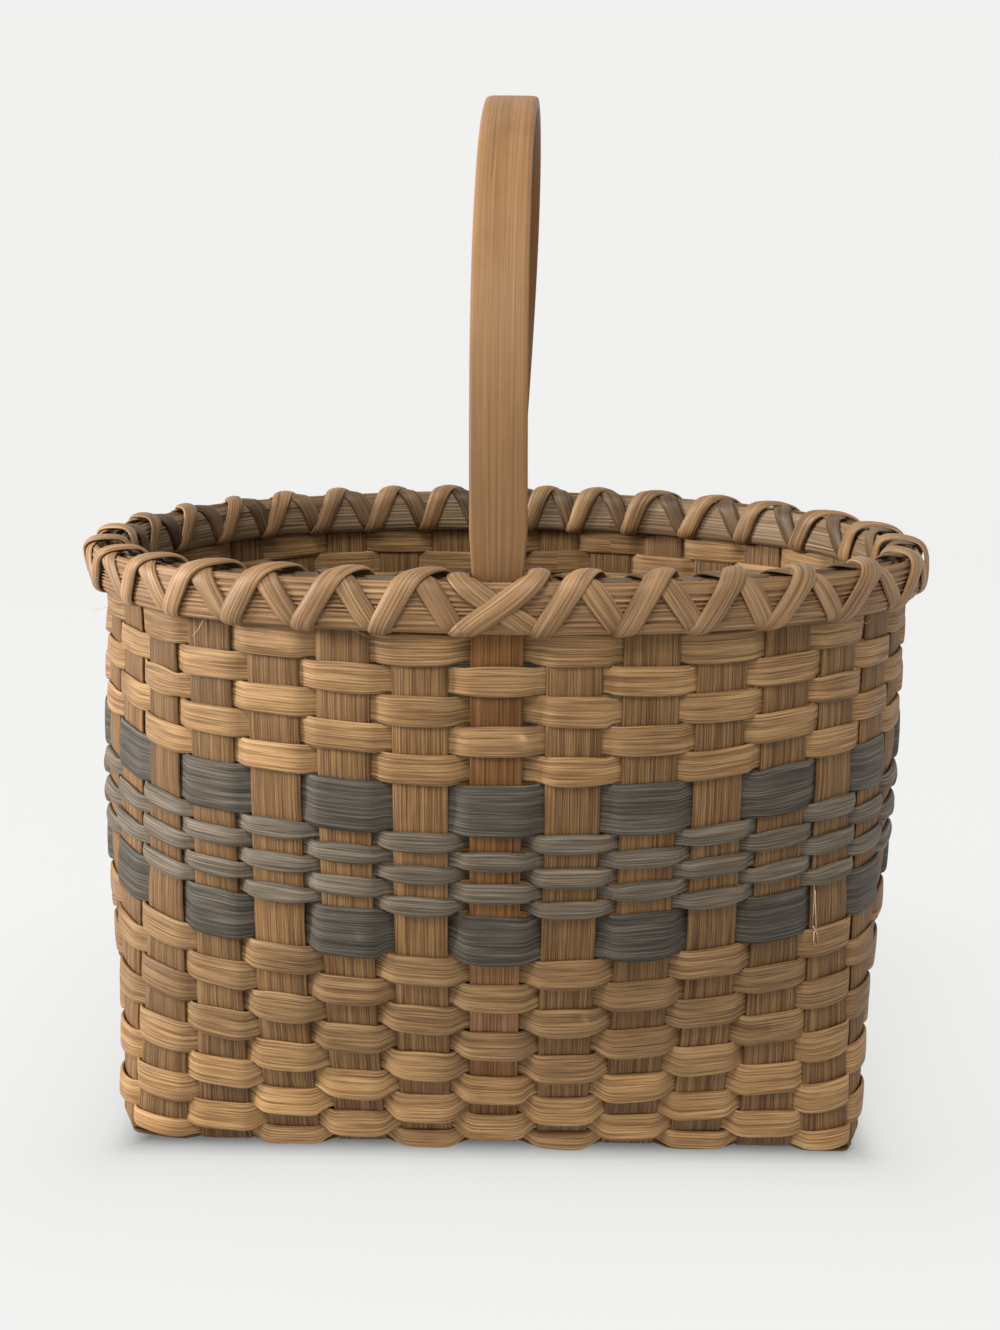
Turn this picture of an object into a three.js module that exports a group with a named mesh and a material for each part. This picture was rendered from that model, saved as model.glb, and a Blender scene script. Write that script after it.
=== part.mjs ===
// A splint basket: flat stakes woven into an oblong base and turned up, twenty-one rows of weavers
// round a wall that swings out from an oblong to an oval, a rim row clamped between two rims,
// two passes of lashing round the rims, and one bentwood handle held between them.
// Millimetres, +Z up. X runs along the base, -Y is the front, and the origin is on the floor.

import * as THREE from 'three';

// Stakes: flat splints that make the base and turn up to become the uprights of the wall.
const crossStakeCount = 11; // run from front to back
const longStakeCount = 7; // run from left to right
const stakeWidth = 18;
const stakeThickness = 1.2;

// Wall: how far it swings out from the base to the oval rim, at the middle of the stakes.
const swingLength = 19; // at each end
const swingWidth = 39; // at the front and at the back
const rimSquareness = 2.2; // superellipse exponent of the rim, 2 is an ellipse
const swingPower = 3; // 1 swings out evenly, more swings out early and then rises straight
const footHeight = 6.5; // lower edge of the lowest row

// Weavers: splints with a flat inner face and a crowned outer face.
const naturalWidth = 9.4;
const wideWidth = 16.9;
const narrowWidth = 5.6;
const footRowWidth = 5.6; // lowest row, at the turn of the stakes
const weaverThickness = 1.3;
const rowGap = 0.35;

// Rims: two bent strips, each with its upper edge rounded on the side away from the wall.
const rimHeight = 15.5;
const rimThickness = 3.5;
const rimRound = 1.3; // how much thinner the strip is at its upper edge
const rimRoundHeight = 3.5;

// Lashing: two passes that slant opposite ways, the second over the first.
const lashingWidth = 5.4;
const lashingThickness = 0.8;
const lashingSlack = 0.5; // between the rims and the first pass
const lashingRoom = 0.3; // beside the lashing, where it passes between two stakes

// Handle: a hoop whose thinned tails run down inside the middle stakes.
const handleWidth = 18;
const handleThickness = 5;
const handleRise = 156; // top of the hoop above the rims
const handleSquareness = 2.1;
const tailWidth = 15;
const tailThickness = 2;
const tailTaper = 14; // height over which the tail thickens into the hoop

const clearance = 0.3; // between pieces that touch

// The rows of weaving from the foot of the wall to the rim.
const rows = [
  { width: footRowWidth, finish: 'natural' },
  ...Array(8).fill({ width: naturalWidth, finish: 'natural' }),
  { width: wideWidth, finish: 'dyed' },
  ...Array(5).fill({ width: narrowWidth, finish: 'dyed' }),
  { width: wideWidth, finish: 'dyed' },
  ...Array(5).fill({ width: naturalWidth, finish: 'natural' }),
];
const bendRows = [0, 3, 6, 11]; // rows below each bend in a stake
const tailRowCount = 11; // rows from the rim that the handle's tails pass behind
const hoopSteps = 14;

// Worked out from the sizes above.
const stakePitch = stakeWidth + lashingWidth + 2 * lashingRoom;
const baseHalfLength = (crossStakeCount * stakePitch) / 2;
const baseHalfWidth = (longStakeCount * stakePitch) / 2;
const uprightCount = 2 * (crossStakeCount + longStakeCount);
const frontMiddle = (crossStakeCount - 1) / 2; // upright at the middle of the front
const backMiddle = frontMiddle + uprightCount / 2;
const faceGap = stakeThickness / 2 + clearance; // stake's middle to a weaver's near face
const edgeGap = stakeWidth / 2 + clearance; // stake's middle line to a weaver's bend
const crossLevel = 1.5 * stakeThickness + clearance; // middle of the cross stakes in the base
const layerRise = stakeThickness + clearance; // from one layer of the base to the next

const secondSlack = lashingSlack + lashingThickness + clearance;
const lashingDepth = secondSlack + lashingThickness + clearance; // room that both passes take
const seat = faceGap + Math.max(tailThickness, weaverThickness) + clearance; // wall's middle to rim
const rimFace = seat + rimThickness;

const wallArc =
  rows.reduce((sum, row) => sum + row.width + rowGap, 0) - rowGap + lashingDepth + rimHeight / 2;

// How far the wall has swung out, from 0 at the foot to 1 at the middle of the rims.
function swingAtArc(arc) {
  return 1 - Math.max(0, 1 - arc / wallArc) ** swingPower;
}

// Height of a point that lies a given length up the front of the wall from its foot.
function heightAtArc(arc) {
  const steps = 200;
  const run = arc / steps;
  let height = footHeight;
  for (let i = 0; i < steps; i++) {
    const out = swingWidth * (swingAtArc(run * (i + 1)) - swingAtArc(run * i));
    height += Math.sqrt(Math.max(0, run * run - out * out));
  }
  return height;
}

// Lower and upper edge of each row, and the heights at which the stakes bend.
const rowEdges = [];
const bends = [];
let arcSoFar = 0;
rows.forEach((row, index) => {
  if (bendRows.includes(index)) {
    bends.push({ height: heightAtArc(arcSoFar), swing: swingAtArc(arcSoFar) });
  }
  const low = heightAtArc(arcSoFar);
  const high = heightAtArc(arcSoFar + row.width);
  rowEdges.push({ low, high });
  arcSoFar += row.width + rowGap;
});
const rimMiddle = heightAtArc(wallArc);
const rimBottom = rimMiddle - rimHeight / 2;
const rimTop = rimMiddle + rimHeight / 2;
bends.push({ height: rimBottom - lashingDepth, swing: 1 });
bends.push({ height: rimTop, swing: 1 });

// The wall is straight between two bends, so that stakes and weavers stay the same distance apart.
function swingAt(height) {
  if (height <= bends[0].height) return 0;
  const above = bends.findIndex((bend) => bend.height >= height);
  if (above < 0) return 1;
  const a = bends[above - 1];
  const b = bends[above];
  return a.swing + ((b.swing - a.swing) * (height - a.height)) / (b.height - a.height);
}

// Points spaced evenly round the oval rim, with the way out from the basket at each.
function ovalPoints() {
  const halfLength = baseHalfLength + swingLength;
  const halfWidth = baseHalfWidth + swingWidth;
  const samples = 1440;
  const power = 2 / rimSquareness;
  const signed = (value, exponent) => Math.sign(value) * Math.abs(value) ** exponent;
  const track = [];
  for (let i = 0; i <= samples; i++) {
    const turn = (2 * Math.PI * i) / samples - Math.PI / 2;
    track.push(
      new THREE.Vector2(
        halfLength * signed(Math.cos(turn), power),
        halfWidth * signed(Math.sin(turn), power),
      ),
    );
  }
  const lengths = [0];
  for (let i = 1; i <= samples; i++) {
    lengths.push(lengths[i - 1] + track[i].distanceTo(track[i - 1]));
  }
  const points = [];
  for (let k = 0; k < uprightCount; k++) {
    const share = (k - frontMiddle + uprightCount) % uprightCount;
    const target = (lengths[samples] * share) / uprightCount;
    const next = Math.max(1, lengths.findIndex((length) => length >= target));
    const part = (target - lengths[next - 1]) / (lengths[next] - lengths[next - 1]);
    const place = track[next - 1].clone().lerp(track[next], part);
    const out = Math.atan2(
      signed(place.y / halfWidth, rimSquareness - 1) / halfWidth,
      signed(place.x / halfLength, rimSquareness - 1) / halfLength,
    );
    points.push({ place, out });
  }
  return points;
}

// The uprights in order round the basket: front, right end, back, left end.
const uprights = [];
const oval = ovalPoints();
function addSide(count, out, placeOf) {
  for (let i = 0; i < count; i++) {
    const rim = oval[uprights.length];
    const turn = Math.atan2(Math.sin(rim.out - out), Math.cos(rim.out - out));
    const shift = (i - (count - 1) / 2) * stakePitch;
    uprights.push({ foot: placeOf(shift), top: rim.place, out, turn });
  }
}
addSide(crossStakeCount, -Math.PI / 2, (shift) => new THREE.Vector2(shift, -baseHalfWidth));
addSide(longStakeCount, 0, (shift) => new THREE.Vector2(baseHalfLength, shift));
addSide(crossStakeCount, Math.PI / 2, (shift) => new THREE.Vector2(-shift, baseHalfWidth));
addSide(longStakeCount, Math.PI, (shift) => new THREE.Vector2(-baseHalfLength, -shift));

// Place on the wall at an upright: its middle, the way along the wall and the way out of it.
function wallFrame(k, height) {
  const upright = uprights[(k + uprightCount) % uprightCount];
  const swing = swingAt(height);
  const angle = upright.out + upright.turn * swing;
  return {
    middle: upright.foot.clone().lerp(upright.top, swing),
    along: new THREE.Vector2(-Math.sin(angle), Math.cos(angle)),
    out: new THREE.Vector2(Math.cos(angle), Math.sin(angle)),
  };
}

// Place on the rim halfway between two uprights, where the flats of the rim meet.
function gapFrame(k) {
  const a = wallFrame(k, rimTop);
  const b = wallFrame(k + 1, rimTop);
  const half = a.middle.distanceTo(b.middle) / 2;
  const fromA = a.middle.clone().addScaledVector(a.along, half);
  const fromB = b.middle.clone().addScaledVector(b.along, -half);
  return {
    middle: fromA.lerp(fromB, 0.5),
    along: a.along.clone().add(b.along).normalize(),
    out: a.out.clone().add(b.out).divideScalar(1 + a.out.dot(b.out)),
  };
}

function pointAt(frame, sideways, outward, height) {
  const { middle, along, out } = frame;
  return new THREE.Vector3(
    middle.x + along.x * sideways + out.x * outward,
    middle.y + along.y * sideways + out.y * outward,
    height,
  );
}

// A solid strip through a list of cross-sections, which all have the same number of corners. Its
// two faces are split along the same diagonal, so that a twisted strip keeps its thickness.
function strip(sections, closed) {
  const corners = sections[0].length;
  const triangles = [];
  const spans = closed ? sections.length : sections.length - 1;
  for (let i = 0; i < spans; i++) {
    const a = sections[i];
    const b = sections[(i + 1) % sections.length];
    for (let c = 0; c < corners; c++) {
      const d = (c + 1) % corners;
      if (c < corners / 2) triangles.push([a[c], a[d], b[d]], [a[c], b[d], b[c]]);
      else triangles.push([a[c], a[d], b[c]], [a[d], b[d], b[c]]);
    }
  }
  if (!closed) {
    const first = sections[0];
    const last = sections[sections.length - 1];
    for (let c = 1; c < corners - 1; c++) {
      triangles.push([first[0], first[c + 1], first[c]], [last[0], last[c], last[c + 1]]);
    }
  }
  const volume = triangles.reduce((sum, [a, b, c]) => sum + a.dot(b.clone().cross(c)), 0);
  const facing = volume > 0 ? triangles : triangles.map(([a, b, c]) => [a, c, b]);
  const geometry = new THREE.BufferGeometry().setFromPoints(facing.flat());
  geometry.computeVertexNormals();
  return geometry;
}

const finishes = {
  stake: { color: 0x9a7247, roughness: 0.75 },
  middleStake: { color: 0x94643a, roughness: 0.75 },
  natural: { color: 0xb0875a, roughness: 0.7 },
  dyed: { color: 0x5c5852, roughness: 0.8 },
  rim: { color: 0xa67e52, roughness: 0.65 },
  lashing: { color: 0xb38c5c, roughness: 0.65 },
  handle: { color: 0xa87d52, roughness: 0.6 },
};

const basket = new THREE.Group();
function add(name, geometry, finish) {
  const material = new THREE.MeshStandardMaterial({ metalness: 0, ...finishes[finish] });
  const mesh = new THREE.Mesh(geometry, material);
  mesh.name = name;
  basket.add(mesh);
}

const twoDigits = (number) => String(number).padStart(2, '0');

// Stakes

// Flat cross-section of a stake on the wall.
function uprightSection(k, height) {
  const frame = wallFrame(k, height);
  const half = stakeThickness / 2;
  return [
    pointAt(frame, -stakeWidth / 2, half, height),
    pointAt(frame, stakeWidth / 2, half, height),
    pointAt(frame, stakeWidth / 2, -half, height),
    pointAt(frame, -stakeWidth / 2, -half, height),
  ];
}

// Mitred cross-section where a stake turns up from the base.
function cornerSection(k, level) {
  const frame = wallFrame(k, 0);
  const half = stakeThickness / 2;
  return [
    pointAt(frame, -stakeWidth / 2, half, level - half),
    pointAt(frame, stakeWidth / 2, half, level - half),
    pointAt(frame, stakeWidth / 2, -half, level + half),
    pointAt(frame, -stakeWidth / 2, -half, level + half),
  ];
}

// From the rim down to the base at one end of a stake.
function downSections(k, level) {
  const top = uprightSection(k, rimTop - clearance);
  const down = bends.slice(0, -1).map((bend) => uprightSection(k, bend.height));
  return [top, ...down.reverse(), cornerSection(k, level)];
}

// From the base up to the rim at a stake's other end, where the wall faces the other way.
function upSections(k, level) {
  return downSections(k, level)
    .reverse()
    .map(([a, b, c, d]) => [b, a, d, c]);
}

for (let i = 0; i < crossStakeCount; i++) {
  const backUpright = uprightCount / 2 + crossStakeCount - 1 - i;
  const sections = [...downSections(i, crossLevel), ...upSections(backUpright, crossLevel)];
  const finish = i === frontMiddle ? 'middleStake' : 'stake';
  add(`cross_stake_${twoDigits(i + 1)}`, strip(sections, false), finish);
}

// A long stake passes under and over the cross stakes in turn.
for (let j = 0; j < longStakeCount; j++) {
  const right = crossStakeCount + j;
  const left = uprightCount - 1 - j;
  const y = (j - (longStakeCount - 1) / 2) * stakePitch;
  const levelAt = (i) => crossLevel + ((i + j) % 2 ? layerRise : -layerRise);
  const half = stakeThickness / 2;
  const baseSection = (x, level) => [
    new THREE.Vector3(x, y + stakeWidth / 2, level - half),
    new THREE.Vector3(x, y - stakeWidth / 2, level - half),
    new THREE.Vector3(x, y - stakeWidth / 2, level + half),
    new THREE.Vector3(x, y + stakeWidth / 2, level + half),
  ];
  const sections = downSections(left, levelAt(0));
  for (let i = 0; i < crossStakeCount; i++) {
    const x = (i - frontMiddle) * stakePitch;
    sections.push(baseSection(x - edgeGap, levelAt(i)), baseSection(x + edgeGap, levelAt(i)));
  }
  sections.push(...upSections(right, levelAt(crossStakeCount - 1)));
  add(`long_stake_${twoDigits(j + 1)}`, strip(sections, false), 'stake');
}

// Weavers

const isHandleUpright = (k) => k === frontMiddle || k === backMiddle;

// A stake twists as it rises, and behind a row its flat face bows out by this much.
function twistBow(k, low, high) {
  const steps = bends.slice(1).map((bend, i) => {
    const behindRow = bends[i].height < high && bend.height > low;
    return behindRow ? bend.swing - bends[i].swing : 0;
  });
  const twist = Math.abs(uprights[k].turn) * Math.max(...steps);
  return (edgeGap / 2) * Math.sin(twist);
}
const tailBottom = rowEdges[rows.length - tailRowCount].low;

// One row of weaving: outside one upright, inside the next, and round the handle's tails.
function weaverRing(low, high, outsideFirst) {
  const sections = [];
  for (let k = 0; k < uprightCount; k++) {
    const outside = (k % 2 === 0) === outsideFirst;
    const passesTail = isHandleUpright(k) && low >= tailBottom && !outside;
    const tail = passesTail ? tailThickness + clearance : 0;
    const near = faceGap + twistBow(k, low, high) + tail;
    const crown = outside ? near + weaverThickness : -near;
    const flat = crown - weaverThickness;
    const middle = (low + high) / 2;
    for (const sideways of [-edgeGap, edgeGap]) {
      sections.push([
        pointAt(wallFrame(k, low), sideways, flat, low),
        pointAt(wallFrame(k, middle), sideways, crown, middle),
        pointAt(wallFrame(k, high), sideways, flat, high),
      ]);
    }
  }
  return strip(sections, true);
}

rows.forEach((row, index) => {
  const number = rows.length - index; // rows are counted down from the rim
  const { low, high } = rowEdges[index];
  const outsideFirst = number % 2 === 1;
  add(`weaver_${twoDigits(number)}`, weaverRing(low, high, outsideFirst), row.finish);
});
const rimRowLow = rimMiddle - naturalWidth / 2;
add('rim_row', weaverRing(rimRowLow, rimRowLow + naturalWidth, false), 'natural');

// Rims

// A bent strip on one side of the wall: side is 1 for the outer rim and -1 for the inner one.
function rimRing(side) {
  const sections = [];
  for (let k = 0; k < uprightCount; k++) {
    const frame = gapFrame(k);
    sections.push([
      pointAt(frame, 0, side * seat, rimBottom),
      pointAt(frame, 0, side * rimFace, rimBottom),
      pointAt(frame, 0, side * rimFace, rimTop - rimRoundHeight),
      pointAt(frame, 0, side * (rimFace - rimRound), rimTop),
      pointAt(frame, 0, side * seat, rimTop),
    ]);
  }
  return strip(sections, true);
}
add('outer_rim', rimRing(1), 'rim');
add('inner_rim', rimRing(-1), 'rim');

// Lashing

// Cross-section of the lashing at one corner of the rims: side is 1 outside and -1 inside.
function lashingSection(frame, side, up, slack) {
  const edge = up > 0 ? rimTop : rimBottom;
  const near = side * (rimFace + slack);
  const far = near + side * lashingThickness;
  const level = edge + up * slack;
  return [
    pointAt(frame, -lashingWidth / 2, near, level),
    pointAt(frame, lashingWidth / 2, near, level),
    pointAt(frame, 0, far, level + up * lashingThickness),
  ];
}

// One pass round the basket. It comes out under the rims between two stakes and slants up to the
// top of the next stake, or past the handle. Direction 1 goes round from left to right in front.
function lashingPass(direction, slack) {
  const sections = [];
  for (let n = 0; n < uprightCount; n++) {
    const k = direction > 0 ? n : uprightCount - 1 - n;
    const before = gapFrame(direction > 0 ? k - 1 : k);
    const after = gapFrame(direction > 0 ? k : k - 1);
    const over = isHandleUpright(k) ? after : wallFrame(k, rimTop);
    sections.push(
      lashingSection(before, 1, -1, slack),
      lashingSection(over, 1, 1, slack),
      lashingSection(over, -1, 1, slack),
      lashingSection(after, -1, -1, slack),
    );
  }
  return strip(sections, true);
}
add('lashing_first_pass', lashingPass(-1, lashingSlack), 'lashing');
add('lashing_second_pass', lashingPass(1, secondSlack), 'lashing');

// Handle

const tailOut = -faceGap - tailThickness / 2; // middle of the tail from the middle of the wall
const legReach = baseHalfWidth + swingWidth + tailOut;

// Cross-section of the handle: a flat bar with its outer edges eased.
function handleSection(y, z, tilt, width, thickness) {
  const out = new THREE.Vector2(Math.cos(tilt), Math.sin(tilt)).multiplyScalar(thickness / 2);
  return [
    new THREE.Vector3(-width / 2, y + out.x, z + out.y),
    new THREE.Vector3(width / 2, y + out.x, z + out.y),
    new THREE.Vector3(width / 2, y - out.x, z - out.y),
    new THREE.Vector3(-width / 2, y - out.x, z - out.y),
  ];
}

function tailSections(side) {
  const heights = [tailBottom];
  heights.push(...bends.map((bend) => bend.height).filter((height) => height > tailBottom));
  return heights.map((height) => {
    const reach = baseHalfWidth + swingWidth * swingAt(height) + tailOut;
    const tilt = side > 0 ? 0 : Math.PI;
    return handleSection(side * reach, height, tilt, tailWidth, tailThickness);
  });
}

// The hoop is the upper half of a superellipse that stands on the tails.
function hoopSections() {
  const sections = [];
  const hoopFoot = rimTop + tailTaper;
  const halfSpan = legReach - (handleThickness - tailThickness) / 2;
  const rise = handleRise - tailTaper - handleThickness / 2;
  const power = 2 / handleSquareness;
  for (let i = 0; i <= hoopSteps; i++) {
    const turn = (Math.PI * i) / hoopSteps;
    const across = Math.abs(Math.cos(turn)) ** power;
    const up = Math.sin(turn) ** power;
    const y = halfSpan * Math.sign(Math.cos(turn)) * across;
    const slopeOut = Math.sign(Math.cos(turn)) * across ** (handleSquareness - 1) / halfSpan;
    const slopeUp = up ** (handleSquareness - 1) / rise;
    const tilt = Math.atan2(slopeUp, slopeOut);
    sections.push(handleSection(y, hoopFoot + rise * up, tilt, handleWidth, handleThickness));
  }
  return sections;
}
const handleSections = [...tailSections(1), ...hoopSections(), ...tailSections(-1).reverse()];
add('handle', strip(handleSections, false), 'handle');

export default basket;
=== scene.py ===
import math
import bpy
import numpy as np
from mathutils import Matrix


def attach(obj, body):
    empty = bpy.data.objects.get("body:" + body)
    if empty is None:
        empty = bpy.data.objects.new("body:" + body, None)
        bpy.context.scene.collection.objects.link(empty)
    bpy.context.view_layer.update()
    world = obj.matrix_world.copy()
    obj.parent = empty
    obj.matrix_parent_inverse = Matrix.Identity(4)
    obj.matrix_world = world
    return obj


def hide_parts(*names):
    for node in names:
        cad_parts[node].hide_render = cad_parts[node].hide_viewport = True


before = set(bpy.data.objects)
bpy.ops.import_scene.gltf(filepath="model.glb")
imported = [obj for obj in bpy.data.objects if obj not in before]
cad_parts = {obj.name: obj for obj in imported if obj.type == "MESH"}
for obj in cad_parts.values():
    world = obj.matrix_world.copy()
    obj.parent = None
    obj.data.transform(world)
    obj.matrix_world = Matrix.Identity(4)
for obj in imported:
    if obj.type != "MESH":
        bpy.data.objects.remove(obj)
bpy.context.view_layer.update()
mm = 0.001
rng = np.random.default_rng(11)
print("frame loaded")

# the wall: one smooth surface that stakes, weavers and rims all follow, in millimetres

wall = {
    "crossStakes": 11,  # front to back
    "longStakes": 7,  # left to right
    "pitch": 24.0,
    "swingLength": 19.0,
    "swingWidth": 39.0,
    "rimSquareness": 2.2,
    "swingPower": 3.0,
    "footHeight": 6.5,
    "rowGap": 0.35,
    "lashingRoom": 2.7,  # between the top row and the rims
    "rimHeight": 15.5,
    "heightSteps": 1200,
    "ovalSteps": 2880,
    "footSteps": 40,  # from one stake to the next
}
stripWidths = {"foot": 5.6, "natural": 9.4, "wide": 16.9, "narrow": 5.6}
rowKinds = (  # from the foot up
    ["foot"] + ["natural"] * 8 + ["wide"] + ["narrow"] * 5 + ["wide"] + ["natural"] * 5
)
rowWidths = [stripWidths[kind] for kind in rowKinds]
rowCount = len(rowWidths)
uprightCount = 2 * (wall["crossStakes"] + wall["longStakes"])  # counted from the left of the front
frontMiddle = wall["crossStakes"] // 2
endMiddle = wall["longStakes"] // 2
backMiddle = frontMiddle + uprightCount // 2
halfLength = wall["crossStakes"] * wall["pitch"] / 2
halfWidth = wall["longStakes"] * wall["pitch"] / 2
rimHalf = wall["rimHeight"] / 2
plumb = np.array([0, 0, 1.0])

rowLow = np.cumsum([0.0] + [w + wall["rowGap"] for w in rowWidths])
rowMiddle = rowLow[:-1] + np.array(rowWidths) / 2
# up to the middle of the rims
wallArc = rowLow[-1] - wall["rowGap"] + wall["lashingRoom"] + rimHalf


def swingAt(arc):
    left = np.clip(1 - np.asarray(arc) / wallArc, 0, 1)
    return 1 - left ** wall["swingPower"]


arcTable = np.linspace(0, wallArc, wall["heightSteps"] + 1)
arcRun = arcTable[1]
outRun = wall["swingWidth"] * np.diff(swingAt(arcTable))
riseRun = np.sqrt(np.maximum(0, arcRun ** 2 - outRun ** 2))
heightTable = wall["footHeight"] + np.append(0, np.cumsum(riseRun))


def heightAt(arc):
    arc = np.asarray(arc, float)
    return np.interp(arc, arcTable, heightTable) + np.maximum(0, arc - wallArc)


def squareRound(turn, squareness):
    return [np.sign(a) * np.abs(a) ** (2 / squareness) for a in (np.cos(turn), np.sin(turn))]


def ovalTrack():
    turn = np.linspace(0, 2 * math.pi, wall["ovalSteps"] + 1) - math.pi / 2
    roundX, roundY = squareRound(turn, wall["rimSquareness"])
    x = (halfLength + wall["swingLength"]) * roundX
    y = (halfWidth + wall["swingWidth"]) * roundY
    length = np.append(0, np.cumsum(np.hypot(np.diff(x), np.diff(y))))
    return x, y, length / length[-1] * uprightCount


ovalX, ovalY, ovalShare = ovalTrack()


def rimAt(u):
    share = np.mod(np.asarray(u, float) - frontMiddle, uprightCount)
    return np.interp(share, ovalShare, ovalX), np.interp(share, ovalShare, ovalY)


def footPoints():
    points = []
    for i in range(wall["crossStakes"]):
        points.append(((i - frontMiddle) * wall["pitch"], -halfWidth))
    for j in range(wall["longStakes"]):
        points.append((halfLength, (j - endMiddle) * wall["pitch"]))
    points += [(-x, -y) for x, y in points]
    return np.array(points)


def closedCurve(points):
    t = np.linspace(0, 1, wall["footSteps"], endpoint=False)[:, None]
    before, after = np.roll(points, 1, axis=0), np.roll(points, -1, axis=0)
    later = np.roll(points, -2, axis=0)
    rows = []
    for a, b, c, d in zip(before, points, after, later):
        rows.append(
            0.5 * (2 * b + (c - a) * t + (2 * a - 5 * b + 4 * c - d) * t ** 2
                   + (3 * b - a - 3 * c + d) * t ** 3)
        )
    line = np.vstack(rows)
    return np.vstack([line, line[:1]])


footLine = closedCurve(footPoints())
footShare = np.linspace(0, uprightCount, len(footLine))


def footAt(u):
    share = np.mod(np.asarray(u, float), uprightCount)
    return np.interp(share, footShare, footLine[:, 0]), np.interp(share, footShare, footLine[:, 1])


def wallPoint(u, arc):
    u, arc = np.broadcast_arrays(np.asarray(u, float), np.asarray(arc, float))
    swing = swingAt(arc)
    footX, footY = footAt(u)
    rimX, rimY = rimAt(u)
    x = footX + (rimX - footX) * swing
    y = footY + (rimY - footY) * swing
    return np.stack([x, y, heightAt(arc)], axis=-1)


def unit(v):
    return v / np.maximum(np.linalg.norm(v, axis=-1, keepdims=True), 1e-9)


def wallFrame(u, arc):
    stepAlong, stepUp = 0.05, 1.0
    along = (wallPoint(u + stepAlong, arc) - wallPoint(u - stepAlong, arc)) / (2 * stepAlong)
    low = np.maximum(np.asarray(arc, float) - stepUp, 0)
    up = unit(wallPoint(u, low + 2 * stepUp) - wallPoint(u, low))
    out = unit(np.cross(along, up))
    return wallPoint(u, arc), along, up, out


# the real basket isn't quite even: its left end stands straighter, its rim dips at both ends and its
# rows ride up a little towards the corners

unevenLook = {
    "heights": [0, 66, 116, 160, 185, 212, 240, 266],
    "leftShift": [-3.6, -3.4, -0.5, 2.4, 4.2, 4.0, 2.8, 2.8],
    "rightShift": [0, 0, -0.4, -1.1, -1.4, -0.8, 0, 0],
    "endFrom": 98.0, "endOver": 46.0,  # where the ends begin, and how soon they are reached
    "liftHeights": [4, 14, 30, 47, 66, 88, 112, 137, 160, 185, 205],
    "lifts": [0, -0.6, 0.5, 2.0, 2.8, 3.0, 1.8, 1.3, 0.9, 0.7, 0],
    "bandHeights": [6, 60, 95, 140, 195, 222],
    "band": [0, 1, 1, 1, 0.5, 0],
    "sideLift": 2.6, "sideOver": 120.0, "sideMost": 1.2,
    "cornerBack": 9.0, "cornerOver": 70.0,
    "cornerLift": 5.0, "cornerHigh": 30.0,  # the left end of the foot stands clear of the floor
    "rimDip": 3.2, "dipOver": 150.0, "dipMost": 1.1, "dipBend": 2.2,
    "dipFrom": 120.0, "dipRise": 80.0, "dipStart": 1.5,  # heights from which the dip grows
}


def uneven(points):
    look = unevenLook
    moved = points.copy()
    x, y, z = points[..., 0], points[..., 1], points[..., 2]
    part = np.clip((np.abs(x) - look["endFrom"]) / look["endOver"], 0, 1)
    part = part * part * (3 - 2 * part)
    left = np.where(x < 0, part, 0)
    moved[..., 0] += left * np.interp(z, look["heights"], look["leftShift"])
    moved[..., 0] += (part - left) * np.interp(z, look["heights"], look["rightShift"])
    band = np.interp(z, look["bandHeights"], look["band"])
    moved[..., 1] += look["cornerBack"] * left * band * np.clip(-y / look["cornerOver"], 0, 1)
    moved[..., 2] += np.interp(z, look["liftHeights"], look["lifts"])
    sides = np.clip(np.abs(x) / look["sideOver"], 0, look["sideMost"]) ** 2
    moved[..., 2] += look["sideLift"] * band * sides
    moved[..., 2] += look["cornerLift"] * left * np.clip(1 - z / look["cornerHigh"], 0, 1)
    high = np.clip((z - look["dipFrom"]) / look["dipRise"], 0, 1) ** look["dipStart"]
    dip = np.clip(np.abs(x) / look["dipOver"], 0, look["dipMost"]) ** look["dipBend"]
    moved[..., 2] -= look["rimDip"] * dip * high
    return moved


# meshes from rings of points

pieceLook = {"grainSpread": 9.0, "grainSide": 0.37}  # metres of wood that the pieces are cut from


def runLength(line):
    steps = np.linalg.norm(np.diff(line, axis=0), axis=1)
    return np.append(0, np.cumsum(steps))


def putInScene(name, data):
    thing = bpy.data.objects.new(name, data)
    bpy.context.scene.collection.objects.link(thing)
    return thing


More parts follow.
